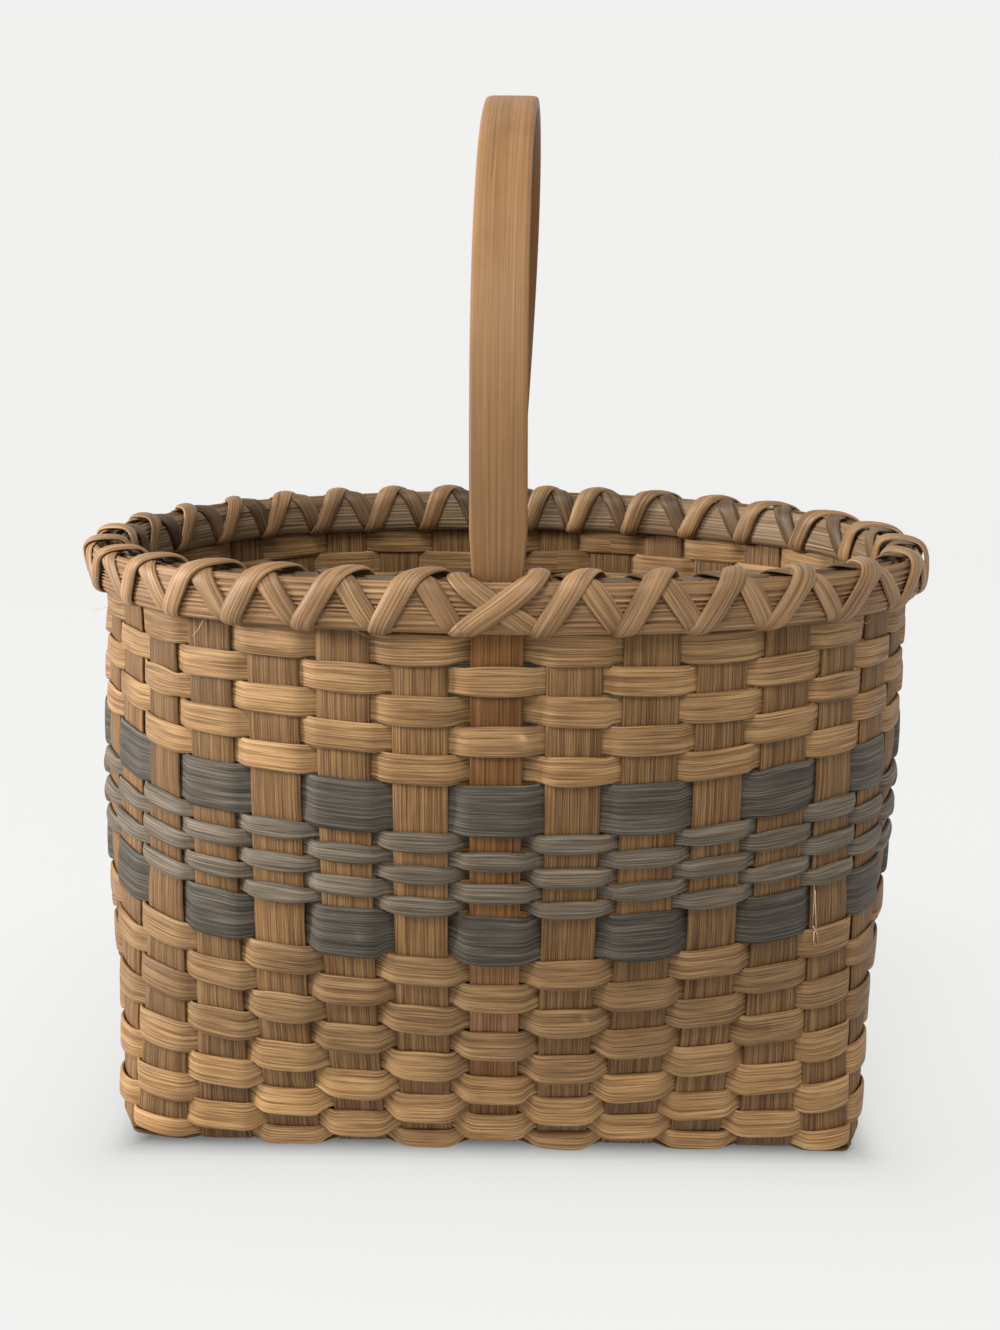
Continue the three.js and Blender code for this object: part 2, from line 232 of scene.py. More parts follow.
def makePiece(name, points, closed, finish, tone):
    ringCount, cornerCount = points.shape[:2]
    points = uneven(points)
    grainStart = rng.uniform(0, pieceLook["grainSpread"])
    along = runLength(points.mean(axis=1))
    across = runLength(points[ringCount // 2])
    faces, alongOf, acrossOf = [], [], []
    for i in range(ringCount if closed else ringCount - 1):
        j = (i + 1) % ringCount
        far = along[j] if j else along[i] + along[1]
        here, there = i * cornerCount, j * cornerCount
        for c in range(cornerCount):
            d = (c + 1) % cornerCount
            faces.append((here + c, here + d, there + d, there + c))
            nextEdge = across[d] if d else across[c] + (across[c] - across[c - 1])
            alongOf += [along[i], along[i], far, far]
            acrossOf += [across[c], nextEdge, nextEdge, across[c]]
    if not closed:
        first = list(range(cornerCount))
        last = [(ringCount - 1) * cornerCount + c for c in first]
        faces += [tuple(first[::-1]), tuple(last)]
        alongOf += [along[0]] * cornerCount + [along[-1]] * cornerCount
        acrossOf += list(across[::-1]) + list(across)
    mesh = bpy.data.meshes.new(name)
    mesh.from_pydata((points.reshape(-1, 3) * mm).tolist(), [], faces)
    uv = mesh.uv_layers.new(name="grain")
    flat = np.empty(2 * len(alongOf))
    flat[0::2] = np.array(alongOf) * mm + grainStart
    flat[1::2] = np.array(acrossOf) * mm + grainStart * pieceLook["grainSide"]
    uv.data.foreach_set("uv", flat)
    toneLayer = mesh.attributes.new("tone", "FLOAT", "POINT")
    tone = np.asarray(tone, float)
    if tone.ndim == 1:
        tone = tone[:, None]
    tone = np.broadcast_to(tone, (ringCount, cornerCount))
    toneLayer.data.foreach_set("value", np.ascontiguousarray(tone).ravel())
    mesh.polygons.foreach_set("use_smooth", [True] * len(mesh.polygons))
    mesh.validate()
    mesh.update()
    mesh.materials.append(finish)
    return putInScene(name, mesh)


def settle(piece, slotName, *nodes):
    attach(piece, "root")
    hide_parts(*nodes)


stripLook = {
    "crowding": 1.6,  # points stand closer together at the edges
    "edgeThin": 0.55, "edgeSharp": 24,
    "hollow": 0.4,  # how far the inner face follows the crown
}


def flatStrip(thick, crown, corners):
    look = stripLook
    edge = np.linspace(-1, 1, corners // 2)
    v = np.sign(edge) * (1 - (1 - np.abs(edge)) ** look["crowding"])
    body = thick / 2 * (1 - look["edgeThin"] * np.abs(v) ** look["edgeSharp"])
    bow = crown * (1 - v ** 2)
    across = np.concatenate([v, v[::-1]]) / 2
    return across[::-1], np.concatenate([body + bow, look["hollow"] * bow - body])[::-1]


def ringNoise(count, waves, size):
    turn = np.linspace(0, 2 * math.pi, count, endpoint=False)
    total = np.zeros(count)
    for n in range(1, waves + 1):
        total += rng.normal() * np.sin(n * turn + rng.uniform(0, 2 * math.pi)) / math.sqrt(waves)
    return total * size


# shader groups

def newGroup(name, inputs, outputs):
    group = bpy.data.node_groups.new(name, "ShaderNodeTree")
    for way, sockets in (("INPUT", inputs), ("OUTPUT", outputs)):
        for label, kind in sockets:
            group.interface.new_socket(label, in_out=way, socket_type="NodeSocket" + kind)
    return group, group.nodes.new("NodeGroupInput"), group.nodes.new("NodeGroupOutput")


def addNode(tree, kind, **settings):
    node = tree.nodes.new(kind)
    for key, value in settings.items():
        setattr(node, key, value)
    return node


def setSockets(node, values):
    for label, value in values.items():
        node.inputs[label].default_value = value


def mathNode(tree, operation, a, b):
    node = addNode(tree, "ShaderNodeMath", operation=operation)
    for socket, value in zip(node.inputs, (a, b)):
        if isinstance(value, (int, float)):
            socket.default_value = value
        else:
            tree.links.new(value, socket)
    return node.outputs[0]


def mapRange(tree, value, fromEnds, toEnds, **settings):
    node = addNode(tree, "ShaderNodeMapRange", **settings)
    setSockets(node, {"From Min": fromEnds[0], "From Max": fromEnds[1]})
    setSockets(node, {"To Min": toEnds[0], "To Max": toEnds[1]})
    tree.links.new(value, node.inputs["Value"])
    return node.outputs[0]


def stretchedNoise(tree, vector, alongScale, acrossScale, detail, roughness):
    split = addNode(tree, "ShaderNodeSeparateXYZ")
    tree.links.new(vector, split.inputs[0])
    join = addNode(tree, "ShaderNodeCombineXYZ")
    for axis, scale in enumerate((alongScale, acrossScale)):
        tree.links.new(mathNode(tree, "MULTIPLY", split.outputs[axis], scale), join.inputs[axis])
    noise = addNode(tree, "ShaderNodeTexNoise")
    setSockets(noise, {"Scale": 1.0, "Detail": detail, "Roughness": roughness})
    tree.links.new(join.outputs[0], noise.inputs["Vector"])
    return noise.outputs["Fac"]


grainLook = {  # noises: shares of the scales along and across the splint, detail, roughness
    "broad": (0.5, 0.35, 2.0, 0.5),
    "fine": (1.0, 1.5, 3.0, 0.65),
    "level": (0.35, 0.5, 1.5, 0.5),
    "blotch": (38.0, 60.0, 3.0, 0.55),  # scales of its own
    "broadShare": 0.25, "fineShare": 0.75,
    "rings": 2.8, "ringHalf": 0.5, "lineEnds": (0.02, 0.1), "lineDepth": 0.35,  # thin growth lines
    "bumpDepth": 0.4,  # millimetres
}


def grainGroup():
    look = grainLook
    group, into, out = newGroup(
        "splitWoodGrain",
        [("Vector", "Vector"), ("Along", "Float"), ("Across", "Float")],
        [("Streak", "Float"), ("Fine", "Float"), ("Blotch", "Float"), ("Line", "Float")],
    )
    link = group.links.new
    vector = into.outputs["Vector"]
    noises = {}
    for name in ("broad", "fine", "level"):
        alongShare, acrossShare, detail, roughness = look[name]
        alongScale = mathNode(group, "MULTIPLY", into.outputs["Along"], alongShare)
        acrossScale = mathNode(group, "MULTIPLY", into.outputs["Across"], acrossShare)
        noises[name] = stretchedNoise(group, vector, alongScale, acrossScale, detail, roughness)
    levels = mathNode(group, "MULTIPLY", noises["level"], look["rings"])
    ring = mathNode(group, "PINGPONG", levels, look["ringHalf"])
    line = mapRange(group, ring, look["lineEnds"], (1.0, 0.0), interpolation_type="SMOOTHSTEP")
    broad = mathNode(group, "MULTIPLY", noises["broad"], look["broadShare"])
    fine = mathNode(group, "MULTIPLY", noises["fine"], look["fineShare"])
    cut = mathNode(group, "MULTIPLY", line, look["lineDepth"])
    link(mathNode(group, "ADD", broad, fine), out.inputs["Streak"])
    link(mathNode(group, "SUBTRACT", noises["fine"], cut), out.inputs["Fine"])
    link(stretchedNoise(group, vector, *look["blotch"]), out.inputs["Blotch"])
    link(line, out.inputs["Line"])
    return group


agedLook = {
    "stainFrom": (0.46, 0.78), "stainTo": (0.0, 0.55),
    "paleFrom": (1.0, 3.0), "paleTo": (1.0, 0.4),  # torn wood loses its colour
    "plainTone": 0.5,  # tone at which the colour stays as it is
}


# the tone attribute lightens or darkens each piece: random tone and wear, and also painted light and shade
# on the rims' ridges, the lashing inside the rims, the handle, the middle stake and the rows near the foot
def toneGroup():
    look = agedLook
    group, into, out = newGroup(
        "wearAndPaintedLight",
        [("Color", "Color"), ("Blotch", "Float"), ("Tone", "Float"), ("Stain", "Color")],
        [("Color", "Color")],
    )
    link = group.links.new
    tone = into.outputs["Tone"]
    stain = addNode(group, "ShaderNodeMix", data_type="RGBA", blend_type="MULTIPLY")
    amount = mapRange(group, into.outputs["Blotch"], look["stainFrom"], look["stainTo"])
    link(amount, stain.inputs[0])
    link(into.outputs["Color"], stain.inputs[6])
    link(into.outputs["Stain"], stain.inputs[7])
    light = addNode(group, "ShaderNodeHueSaturation")
    link(mathNode(group, "ADD", tone, look["plainTone"]), light.inputs["Value"])
    link(mapRange(group, tone, look["paleFrom"], look["paleTo"]), light.inputs["Saturation"])
    link(stain.outputs[2], light.inputs["Color"])
    link(light.outputs[0], out.inputs["Color"])
    return group


grain = grainGroup()
wearAndLight = toneGroup()


def splintMaterial(name, look):
    material = bpy.data.materials.new(name)
    material.use_nodes = True
    tree = material.node_tree
    link = tree.links.new
    shader = tree.nodes["Principled BSDF"]
    uv = addNode(tree, "ShaderNodeUVMap", uv_map="grain")
    grainNode = addNode(tree, "ShaderNodeGroup", node_tree=grain)
    setSockets(grainNode, {"Along": look["along"], "Across": look["across"]})
    link(uv.outputs[0], grainNode.inputs["Vector"])
    ramp = addNode(tree, "ShaderNodeValToRGB")
    stops = ramp.color_ramp.elements
    dark, plain, light = look["colors"]
    stops[0].position = 0.5 - look["spread"]
    stops[0].color = (*dark, 1)
    stops[1].position = 0.5 + look["spread"]
    stops[1].color = (*light, 1)
    stops.new(0.5).color = (*plain, 1)
    link(grainNode.outputs["Streak"], ramp.inputs["Fac"])
    lineMix = addNode(tree, "ShaderNodeMix", data_type="RGBA", blend_type="MULTIPLY")
    lineMix.inputs[7].default_value = (*look["lineColor"], 1)
    link(mathNode(tree, "MULTIPLY", grainNode.outputs["Line"], look["lines"]), lineMix.inputs[0])
    link(ramp.outputs["Color"], lineMix.inputs[6])
    tone = addNode(tree, "ShaderNodeAttribute", attribute_name="tone")
    wearAndLightNode = addNode(tree, "ShaderNodeGroup", node_tree=wearAndLight)
    wearAndLightNode.inputs["Stain"].default_value = (*look["stain"], 1)
    link(lineMix.outputs[2], wearAndLightNode.inputs["Color"])
    link(grainNode.outputs["Blotch"], wearAndLightNode.inputs["Blotch"])
    link(tone.outputs["Fac"], wearAndLightNode.inputs["Tone"])
    link(wearAndLightNode.outputs[0], shader.inputs["Base Color"])
    bump = addNode(tree, "ShaderNodeBump")
    setSockets(bump, {"Strength": look["bump"], "Distance": grainLook["bumpDepth"] * mm})
    link(grainNode.outputs["Fine"], bump.inputs["Height"])
    link(bump.outputs[0], shader.inputs["Normal"])
    setSockets(shader, {"Roughness": look["roughness"], "Specular IOR Level": look["specular"]})
    return material


finishLook = {  # colours: dark, plain and light
    "natural": {
        "along": 32.0, "across": 1250.0, "bump": 0.3, "roughness": 0.6, "specular": 0.28,
        "stain": (0.66, 0.57, 0.5), "lines": 0.36, "lineColor": (0.45, 0.35, 0.25), "spread": 0.09,
        "colors": [(0.12, 0.058, 0.02), (0.222, 0.122, 0.048), (0.33, 0.199, 0.086)],
    },
    "dyed": {
        "along": 30.0, "across": 1250.0, "bump": 0.35, "roughness": 0.64, "specular": 0.26,
        "stain": (0.7, 0.68, 0.66), "lines": 0.3, "lineColor": (0.5, 0.48, 0.46), "spread": 0.11,
        "colors": [(0.025, 0.0202, 0.0142), (0.051, 0.0404, 0.0288), (0.118, 0.097, 0.072)],
    },
    "fadedDye": {
        "along": 30.0, "across": 1250.0, "bump": 0.35, "roughness": 0.64, "specular": 0.26,
        "stain": (0.72, 0.66, 0.6), "lines": 0.28, "lineColor": (0.5, 0.46, 0.42), "spread": 0.11,
        "colors": [(0.045, 0.034, 0.0225), (0.085, 0.066, 0.0458), (0.16, 0.128, 0.0925)],
    },
    "stake": {
        "along": 22.0, "across": 1400.0, "bump": 0.45, "roughness": 0.68, "specular": 0.24,
        "stain": (0.6, 0.52, 0.44), "lines": 0.36, "lineColor": (0.4, 0.3, 0.2), "spread": 0.09,
        "colors": [(0.076, 0.0354, 0.0117), (0.144, 0.0746, 0.0274), (0.218, 0.1225, 0.0495)],
    },
    "middleStake": {
        "along": 18.0, "across": 1100.0, "bump": 0.35, "roughness": 0.64, "specular": 0.15,
        "stain": (0.66, 0.5, 0.38), "lines": 0.4, "lineColor": (0.45, 0.32, 0.22), "spread": 0.11,
        "colors": [(0.062, 0.024, 0.0072), (0.106, 0.046, 0.0142), (0.16, 0.079, 0.029)],
    },
    "rim": {
        "along": 14.0, "across": 1000.0, "bump": 0.35, "roughness": 0.56, "specular": 0.3,
        "stain": (0.6, 0.5, 0.42), "lines": 0.5, "lineColor": (0.42, 0.32, 0.23), "spread": 0.1,
        "colors": [(0.118, 0.0574, 0.0222), (0.205, 0.109, 0.0462), (0.3, 0.18, 0.083)],
    },
    "innerRim": {
        "along": 14.0, "across": 1000.0, "bump": 0.35, "roughness": 0.6, "specular": 0.28,
        "stain": (0.6, 0.52, 0.46), "lines": 0.5, "lineColor": (0.45, 0.37, 0.3), "spread": 0.1,
        "colors": [(0.09, 0.053, 0.0265), (0.152, 0.0975, 0.0535), (0.235, 0.163, 0.096)],
    },
    "lashing": {
        "along": 22.0, "across": 1000.0, "bump": 0.3, "roughness": 0.52, "specular": 0.32,
        "stain": (0.62, 0.52, 0.44), "lines": 0.28, "lineColor": (0.5, 0.4, 0.3), "spread": 0.1,
        "colors": [(0.125, 0.062, 0.0245), (0.214, 0.118, 0.0505), (0.31, 0.19, 0.09)],
    },
    "handle": {
        "along": 9.0, "across": 900.0, "bump": 0.15, "roughness": 0.55, "specular": 0.2,
        "stain": (0.74, 0.63, 0.53), "lines": 0.35, "lineColor": (0.6, 0.48, 0.38), "spread": 0.13,
        "colors": [(0.163, 0.083, 0.0325), (0.2, 0.106, 0.0435), (0.238, 0.134, 0.059)],
    },
}
finishes = {name: splintMaterial(name, look) for name, look in finishLook.items()}
print("materials made")

# stakes

stakeLook = {
    "width": 18.0, "widthSpread": 0.03, "middleWidth": 16.4,
    "thickness": 1.2,
    "edge": 0.5, "faceRise": [0.35, 1, 1.12, 1.16, 1.12, 1, 0.35],  # from edge to edge, in half thicknesses
    "topGap": 0.3,  # below the top of the rims
    "wallStep": 2.2, "baseStep": 3.0, "turnSteps": 7,
    "turnReach": 6.0,  # how far in from the foot a stake starts to turn up
    "turnPull": 9.0,
    "sway": 0.28,  # pushed in and out by the rows
    "drift": 0.25, "driftAt": [0, 60, 130],  # wanders to the side
    "level": 2.1, "weave": 1.5, "weaveSharp": 2.2,  # in the base
    "tone": 0.5, "toneSpread": 0.08, "toneLimits": (0.34, 0.66), "toneDrift": 0.06, "toneKnots": 26,
    "marks": {  # place up the wall, spread, amount
        "crossStake5": [(186.0, 5.0, -0.16), (38.0, 3.0, -0.22), (56.0, 1.5, 0.5)],
        # on the middle stake the spot at 195, just under the rims, is a painted light against the rims'
        # shadow
        "crossStake6": [(115.0, 30.0, 0.22), (195.0, 9.0, 0.5), (160.0, 20.0, 0.14), (58.0, 34.0, 0.9)],
    },
}


def rowSide(k, number):
    return 1.0 if (k % 2 == 0) == (number % 2 == 1) else -1.0


def weaveWave(x, sharp):
    return np.tanh(sharp * np.cos(math.pi * x)) / np.tanh(sharp)


def stakeProfile(width):
    half, edge = width / 2, stakeLook["edge"]
    across = np.array([-half, -half + edge, -half * 0.5, 0, half * 0.5, half - edge, half])
    rise = np.array(stakeLook["faceRise"]) * (stakeLook["thickness"] / 2)
    return np.concatenate([across, across[::-1]]), np.concatenate([rise, -rise[::-1]])


def uprightRings(k, width):
    look = stakeLook
    topArc = wallArc + rimHalf - look["topGap"]
    count = int(topArc / look["wallStep"])
    arcs = np.linspace(topArc, 0, count)
    across, rise = stakeProfile(width)
    numbers = rowCount - np.arange(rowCount)
    push = np.array([-rowSide(k, n) * look["sway"] for n in numbers])
    sway = np.interp(arcs, rowMiddle, push, left=0, right=0)
    driftAt = look["driftAt"] + [topArc]
    drift = np.interp(arcs, driftAt, rng.normal(0, look["drift"], len(driftAt)))
    perUpright = np.linalg.norm(wallFrame(np.full(count, float(k)), arcs)[1], axis=1)
    u = k + (across[None, :] + drift[:, None]) / perUpright[:, None]
    arcGrid = np.broadcast_to(arcs[:, None], u.shape)
    points, _, _, out = wallFrame(u, arcGrid)
    return points + out * (rise[None, :] + sway[:, None])[..., None]


def turnRings(startRing, startRun, endRing, endRun):
    t = np.linspace(0, 1, stakeLook["turnSteps"] + 2)[1:-1, None, None]
    pull = stakeLook["turnPull"]
    return ((2 * t ** 3 - 3 * t ** 2 + 1) * startRing + (t ** 3 - 2 * t ** 2 + t) * startRun * pull
            + (3 * t ** 2 - 2 * t ** 3) * endRing + (t ** 3 - t ** 2) * endRun * pull)


def baseRings(axis, places, offset, levels, width):
    flip = 1.0 if axis == 1 else -1.0
    across, rise = stakeProfile(width)
    points = np.zeros((len(places), len(across), 3))
    points[:, :, axis] = places[:, None]
    points[:, :, 1 - axis] = offset + flip * across[None, :]
    points[:, :, 2] = levels[:, None] - rise[None, :]
    return points


def mirrorOrder(count):
    half = count // 2
    return np.concatenate([np.arange(half)[::-1], half + np.arange(half)[::-1]])


def stakeTone(name, ringCount, cornerCount, downCount):
    look = stakeLook
    base = np.clip(rng.normal(look["tone"], look["toneSpread"]), *look["toneLimits"])
    knots = np.linspace(0, ringCount, look["toneKnots"])
    tone = base + np.interp(np.arange(ringCount), knots, rng.normal(0, look["toneDrift"], len(knots)))
    arcs = np.linspace(wallArc + rimHalf, 0, downCount)
    for arc, spread, amount in look["marks"].get(name, []):
        tone[:downCount] += amount * np.exp(-((arcs - arc) / spread) ** 2)
    return np.repeat(tone[:, None], cornerCount, axis=1)


def baseLevels(places, side):
    wave = weaveWave(places / wall["pitch"] + frontMiddle, stakeLook["weaveSharp"])
    return stakeLook["level"] - side * stakeLook["weave"] * wave


def makeStake(name, first, second, axis, offset, side, width, finish):
    down = uprightRings(first, width)  # at the front or at the left
    up = uprightRings(second, width)[::-1]
    up = up[:, mirrorOrder(up.shape[1])]
    inner = (halfWidth if axis == 1 else halfLength) - stakeLook["turnReach"]
    places = np.linspace(-inner, inner, int(2 * inner / stakeLook["baseStep"]))
    base = baseRings(axis, places, offset, baseLevels(places, side), width)
    inward = np.zeros(3)
    inward[axis] = 1.0
    start = turnRings(down[-1], unit(down[-1] - down[-2]), base[0], inward)
    end = turnRings(base[-1], inward, up[0], unit(up[1] - up[0]))
    points = np.concatenate([down, start, base, end, up])
    tone = stakeTone(name, points.shape[0], points.shape[1], len(down))
    return makePiece(name, points, False, finishes[finish], tone)


def stakeWidth():
    spread = stakeLook["widthSpread"]
    return stakeLook["width"] * rng.uniform(1 - spread, 1 + spread)


for i in range(wall["crossStakes"]):  # these lie flat in the base
    isMiddle = i == frontMiddle
    width = stakeLook["middleWidth"] if isMiddle else stakeWidth()
    finish = "middleStake" if isMiddle else "stake"
    place = (i - frontMiddle) * wall["pitch"]
    piece = makeStake(f"crossStake{i + 1}", i, frontMiddle + backMiddle - i, 1, place, 0, width, finish)
    settle(piece, "middle_stake" if isMiddle else "stake", f"cross_stake_{i + 1:02d}")

for j in range(wall["longStakes"]):  # these pass over and under them
    place = (j - endMiddle) * wall["pitch"]
    side = 1 if j % 2 == 0 else -1
    left, right = uprightCount - 1 - j, wall["crossStakes"] + j
    piece = makeStake(f"longStake{j + 1}", left, right, 0, place, side, stakeWidth(), "stake")
    settle(piece, "stake", f"long_stake_{j + 1:02d}")
print("stakes woven")

# weavers; a noise is given by its number of waves and its size

weaverLook = {
    "steps": 12,  # rings from one upright to the next
    "corners": 18,
    "seams": (21.0, 22.0),  # ends overlap inside the back
    "reach": 1.4, "plainThick": 1.2,  # how far a plain row stands out from the wall's middle
    "bulge": (40, 0.1),
    "sharp": 2.8, "sharpNoise": (20, 0.12),
    "upright": 0.85,  # flat strips stand straighter than the wall leans
    "standOff": 0.4,
    "tilt": (30, 0.03),
    "wander": (10, 0.5), "wanderTurn": 6,  # how the rows stray up and down together
    "stray": (20, 0.12),  # how one row strays from the next
    "widthWaves": 30,
    "backWider": 0.04, "backPinch": 0.2,  # the back is woven tighter
    "pinchSpread": 0.06, "pinchMost": 0.6,
    "topWider": 1.1, "topLift": 0.6,  # the top row reaches up under the rims
    "gapRows": 5, "gapShift": 0.13,  # rows that stop short of the middle stake's right edge
    "gapPlace": 0.55, "gapSpread": 0.3,
    "kinds": {
        "foot": {"thick": 1.3, "crown": 0.3, "wider": 1.3, "pinch": 0.06, "drop": 1.0, "tone": 0.52,
                 "ragged": 0.03, "finish": "natural"},
        "natural": {"thick": 1.2, "crown": 0.18, "wider": 1.08, "pinch": 0.07, "drop": 0.0, "tone": 0.5,
                    "ragged": 0.03, "finish": "natural"},
        "wide": {"thick": 1.2, "crown": 0.28, "wider": 1.05, "pinch": 0.03, "drop": 0.0, "tone": 0.46,
                 "ragged": 0.01, "finish": "dyed"},
        "narrow": {"thick": 1.3, "crown": 0.7, "wider": 1.26, "pinch": 0.24, "drop": 0.0, "tone": 0.66,
                   "ragged": 0.035, "finish": "fadedDye"},
    },
    "toneSpread": 0.05, "toneNoise": (26, 0.09), "toneLimits": (0.15, 0.95),
    "toneRows": [1, 3, 5, 12, 13, 16, 18, 21],  # the first rows under the dyed band are duller
    # the rows down to the foot are made lighter, a painted light against the shade near the floor
    "rowTones": [0.08, 0.06, 0.02, 0, -0.24, -0.12, 0.2, 0.48],
    "markHeight": 0.12,
    "marks": {  # row: place round the wall, place across the strip, amount, spread
        2: [(7.54, 0.1, 0.9, 0.03)],
        4: [(5.34, 0.15, 1.1, 0.03), (5.28, 0.2, 0.7, 0.03)],
        7: [(7.13, 0.0, -0.35, 0.03)],
        12: [(3.19, 0.0, 0.5, 0.05)],
        15: [(6.23, 0.2, 0.9, 0.03)],
        16: [(8.9, 0.1, -0.4, 0.025)],
    },
}
tailRoom = {"rows": 11, "depth": 2.3, "spread": 0.5}  # rows that pass behind the handle's tails
rowRings = uprightCount * weaverLook["steps"]
rowDrift = [ringNoise(rowRings, *weaverLook["wander"]) for _ in range(2)]


def nearUpright(u, k):
    return (u - k + uprightCount / 2) % uprightCount - uprightCount / 2


def rowWave(u, number):
    look = weaverLook
    phase = u.copy()
    if 0 < number <= look["gapRows"] and number % 2 == 1:
        gap = nearUpright(u, frontMiddle + look["gapPlace"])
        phase -= look["gapShift"] * np.exp(-(gap / look["gapSpread"]) ** 2)
    sign = 1.0 if number % 2 == 1 else -1.0
    return sign * weaveWave(phase, look["sharp"] * (1 + ringNoise(len(u), *look["sharpNoise"])))


def rowTone(u, v, number, kind):
    look = weaverLook
    tone = kind["tone"] + rng.normal(0, look["toneSpread"]) + ringNoise(len(u), *look["toneNoise"])
    tone = tone + np.interp(number, look["toneRows"], look["rowTones"])
    tone = np.repeat(np.clip(tone, *look["toneLimits"])[:, None], look["corners"], axis=1)
    for place, height, amount, spread in look["marks"].get(number, []):
        spot = np.exp(-(nearUpright(u, place) / spread) ** 2)[:, None]
        tone += amount * spot * np.exp(-((v - height) / look["markHeight"]) ** 2)[None, :]
    return tone


def weaverRow(name, arcMiddle, width, number, kind):
    look = weaverLook
    steps = look["steps"]
    seam = look["seams"][0] if rowSide(look["seams"][0], number) < 0 else look["seams"][1]
    u = seam + np.arange(rowRings) / steps
    wave = rowWave(u, number)
    back = 0.5 - 0.5 * np.cos(2 * math.pi * nearUpright(u, frontMiddle) / uprightCount)
    ragged = ringNoise(rowRings, look["widthWaves"], kind["ragged"])
    widths = width * kind["wider"] * (1 + ragged + look["backWider"] * back)
    arcs = arcMiddle - kind["drop"] + ringNoise(rowRings, *look["stray"])
    if number:
        lean = number / look["wanderTurn"]
        drift = rowDrift[0] * math.sin(lean) + rowDrift[1] * math.cos(lean)
        arcs += drift[(np.arange(rowRings) + int(seam) * steps) % rowRings]
    if number == 1:
        widths *= look["topWider"]
        arcs += look["topLift"]
    points, _, up, out = wallFrame(u, arcs)
    side = unit(up * (1 - look["upright"]) + plumb * look["upright"])
    reach = look["reach"] + (kind["thick"] - look["plainThick"]) / 2
    standOff = look["standOff"] * widths * np.linalg.norm(np.cross(up, side), axis=1)
    offset = (reach + standOff) * wave
    if number <= tailRoom["rows"]:
        for k in (frontMiddle, backMiddle):
            if rowSide(k, number) < 0:
                offset -= tailRoom["depth"] * np.exp(-(nearUpright(u, k) / tailRoom["spread"]) ** 4)
    offset += ringNoise(rowRings, *look["bulge"])
    pinches = np.clip(rng.normal(kind["pinch"], look["pinchSpread"], uprightCount), 0, look["pinchMost"])
    pinchAt = np.roll(np.repeat(pinches, steps), steps // 2)
    looseness = 1 - (1 - look["backPinch"]) * np.clip(2 * back, 0, 1)
    widths *= 1 - looseness * pinchAt * np.sin(math.pi * u) ** 4
    v, h = flatStrip(kind["thick"], kind["crown"], look["corners"])
    side = side + out * ringNoise(rowRings, *look["tilt"])[:, None]
    bowed = np.where((wave > 0)[:, None], h[None, :], -h[None, ::-1])  # the crown faces away from the stake
    grid = (points[:, None, :] + side[:, None, :] * (v[None, :] * widths[:, None])[..., None]
            + out[:, None, :] * (bowed + offset[:, None])[..., None])
    tone = rowTone(u, v, number, kind)
    return makePiece(name, grid, True, finishes[kind["finish"]], tone)


for index, width in enumerate(rowWidths):
    number = rowCount - index
    kind = weaverLook["kinds"][rowKinds[index]]
    piece = weaverRow(f"weaver{number}", rowMiddle[index], width, number, kind)
    slotName = "natural_splint" if kind["finish"] == "natural" else "dyed_splint"
    settle(piece, slotName, f"weaver_{number:02d}")
rimRow = weaverRow("rimRow", wallArc, stripWidths["natural"], 0, weaverLook["kinds"]["natural"])
settle(rimRow, "natural_splint", "rim_row")
print("rows woven")

# rims

rimLook = {
    "steps": 10, "points": 57, "seam": 21,
    "inner": 3.5, "face": 6.3, "lower": 1.2,  # out from the middle of the wall, and below the lower edge
    "edgeRound": 1.5, "edgeSharp": 5, "bow": 0.6, "innerEdge": 0.96,
    "ridges": 10, "uneven": 0.05, "unevenTurn": 5, "ridgeEnds": 8,
    "outerRidges": 0.42, "innerRidges": 0.14,  # heights of the ridges on the two rims
    # the ridge tops are painted lighter and the grooves between them darker: painted light and shade on the
    # ridges
    "ridgePaintedShade": 0.25, "outerTone": 0.5, "innerTone": 0.56, "hiddenTone": 0.4,
    "rise": (10, 0.22), "swell": (24, 0.012), "drift": (16, 0.12), "toneNoise": (20, 0.06),
    "mark": (40, 0.45), "markMiddle": 0.6, "markLimits": (0.05, 1.3),
}


def rimProfile():
    look = rimLook
    v = np.linspace(-1, 1, look["points"])
    crown = look["face"] - look["edgeRound"] * np.abs(v) ** look["edgeSharp"] - look["bow"] * v ** 2
    spacing = (v + 1 + look["uneven"] * np.sin(look["unevenTurn"] * v)) * look["ridges"]
    place = v * rimHalf - look["lower"] * (1 - v) / 2
    innerEdge = rimHalf * look["innerEdge"]
    return np.concatenate([place, [innerEdge, 0, -innerEdge]]), crown, spacing


